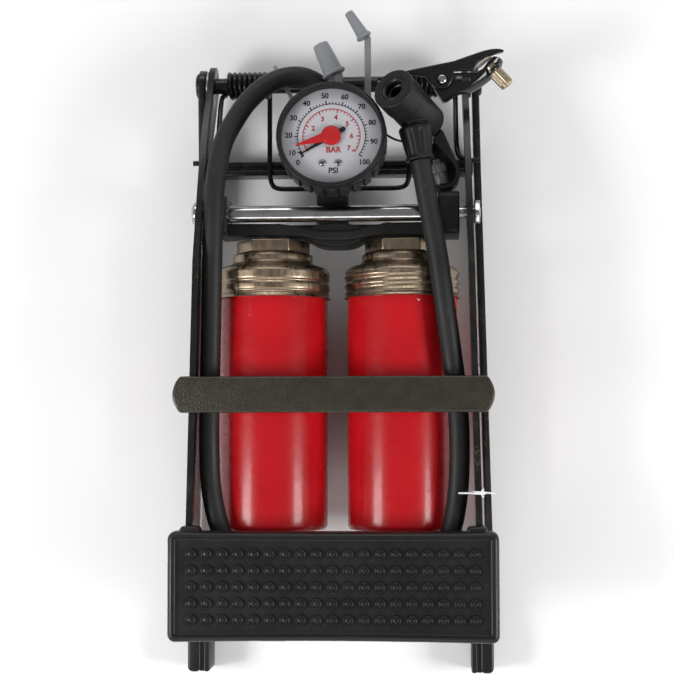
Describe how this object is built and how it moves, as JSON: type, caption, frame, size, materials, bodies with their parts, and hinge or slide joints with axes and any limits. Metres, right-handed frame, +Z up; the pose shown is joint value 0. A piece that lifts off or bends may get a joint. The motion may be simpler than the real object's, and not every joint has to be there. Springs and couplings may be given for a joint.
{
  "type": "foot air pump",
  "caption": "Foot air pump folded flat: twin red cylinders, pressure gauge, rubber pedal, hose with lever chuck, and clip-on adapters.",
  "frame": {"origin": "on the floor, at the middle of the stand bar's underside, below and just in front of the hinge", "axes": "+Z up off the floor, +Y from the pedal towards the hinge, +X to the right across the pump"},
  "size_m": [0.164, 0.3275, 0.0802],
  "materials": {
    "black_paint": "gloss enamel",
    "spring_steel": "black, lightly oiled",
    "bronze_paint": "hammered bronze-black paint",
    "zinc_steel": "bright zinc",
    "chrome": "polished",
    "nickel": "bright nickel plate",
    "red_paint": "gloss enamel",
    "black_rubber": "matt moulded rubber",
    "hose_rubber": "satin rubber",
    "black_plastic": "fine moulded texture",
    "grey_plastic": "satin",
    "white_plastic": "satin",
    "dial_face": "satin silver-white",
    "pointer_red": "gloss",
    "lens": "clear",
    "brass": "machined"
  },
  "bodies": {
    "base": {"base_rail_left": "black_paint", "base_rail_right": "black_paint", "hinge_axle": "black_paint", "hinge_washer_left": "zinc_steel", "hinge_washer_right": "zinc_steel", "stand_bar": "black_paint", "rod_pin": "zinc_steel", "foot_boot_left": "black_rubber", "foot_boot_right": "black_rubber", "torsion_spring": "spring_steel"},
    "lever": {"lever_bar_left": "black_paint", "lever_bar_right": "black_paint", "spring_arm_left": "spring_steel", "spring_arm_right": "spring_steel", "cross_brace": "bronze_paint", "pedal_plate": "zinc_steel", "pedal_pad": "black_rubber", "cylinder_bolt": "chrome", "cylinder_bolt_nut": "chrome", "bundle_tie": "white_plastic"},
    "cylinders": {"spacer_tube": "chrome", "manifold": "black_plastic", "hex_neck_left": "nickel", "hex_neck_right": "nickel", "head_cap_left": "nickel", "head_cap_right": "nickel", "barrel_left": "red_paint", "barrel_right": "red_paint", "rod_guide_left": "black_plastic", "rod_guide_right": "black_plastic", "gauge_housing": "black_plastic", "gauge_bezel": "black_plastic", "gauge_lens": "lens", "gauge_dial": "dial_face", "gauge_movement": "brass", "hose": "hose_rubber", "hose_fitting": "brass", "chuck_collar": "black_plastic", "chuck_body": "black_plastic", "chuck_grommet": "black_rubber", "valve_adapter": "zinc_steel", "clip_jaw": "black_paint", "clip_rivet": "zinc_steel", "clip_nipple": "brass", "cone_nozzle_wide": "grey_plastic", "cone_nozzle_narrow": "grey_plastic", "ball_needle": "grey_plastic"},
    "rods": {"piston_rod_left": "zinc_steel", "piston_rod_right": "zinc_steel", "piston_left": "black_plastic", "piston_right": "black_plastic", "piston_seal_left": "black_rubber", "piston_seal_right": "black_rubber", "rod_hook_left": "zinc_steel", "rod_hook_right": "zinc_steel"},
    "needle": {"needle_shaft": "brass", "gauge_needle": "black_plastic"},
    "pointer": {"set_pointer": "pointer_red"},
    "thumb_lever": {"chuck_lever": "black_plastic"},
    "clip_handle": {"clip_lever": "black_paint"}
  },
  "joints": [
    {"name": "lever_hinge", "type": "hinge", "parent": "base", "child": "lever", "pos_m": [0, 0.041, 0.022], "axis": [-1, 0, 0], "range_deg": [0, 55]},
    {"name": "cylinder_swing", "type": "hinge", "parent": "lever", "child": "cylinders", "pos_m": [0, -0.028, 0.05], "axis": [-1, 0, 0], "range_deg": [-65, 0]},
    {"name": "piston_slide", "type": "slide", "parent": "cylinders", "child": "rods", "axis": [0, -1, 0], "range_m": [0, 0.0625]},
    {"name": "needle_turn", "type": "hinge", "parent": "cylinders", "child": "needle", "pos_m": [-0.0007, 0.0052, 0.0605], "axis": [0, -0.1564, -0.9877], "range_deg": [0, 270], "stiffness_Nm_per_rad": 0.00002},
    {"name": "pointer_turn", "type": "hinge", "parent": "cylinders", "child": "pointer", "pos_m": [-0.0007, 0.0052, 0.0605], "axis": [0, -0.1564, -0.9877], "range_deg": [-20, 250]},
    {"name": "thumb_lever_turn", "type": "hinge", "parent": "cylinders", "child": "thumb_lever", "pos_m": [0.048, 0.012, 0.047], "axis": [1, 0, 0], "range_deg": [0, 75]},
    {"name": "clip_squeeze", "type": "hinge", "parent": "cylinders", "child": "clip_handle", "pos_m": [0.0521, 0.0348, 0.058], "axis": [0, 0, 1], "range_deg": [0, 8], "stiffness_Nm_per_rad": 0.05}
  ],
  "couplings": [
    {"joint": "cylinder_swing", "follows": "lever_hinge", "ratio": -1.1786},
    {"joint": "piston_slide", "follows": "lever_hinge", "m_per_rad": 0.06498}
  ]
}
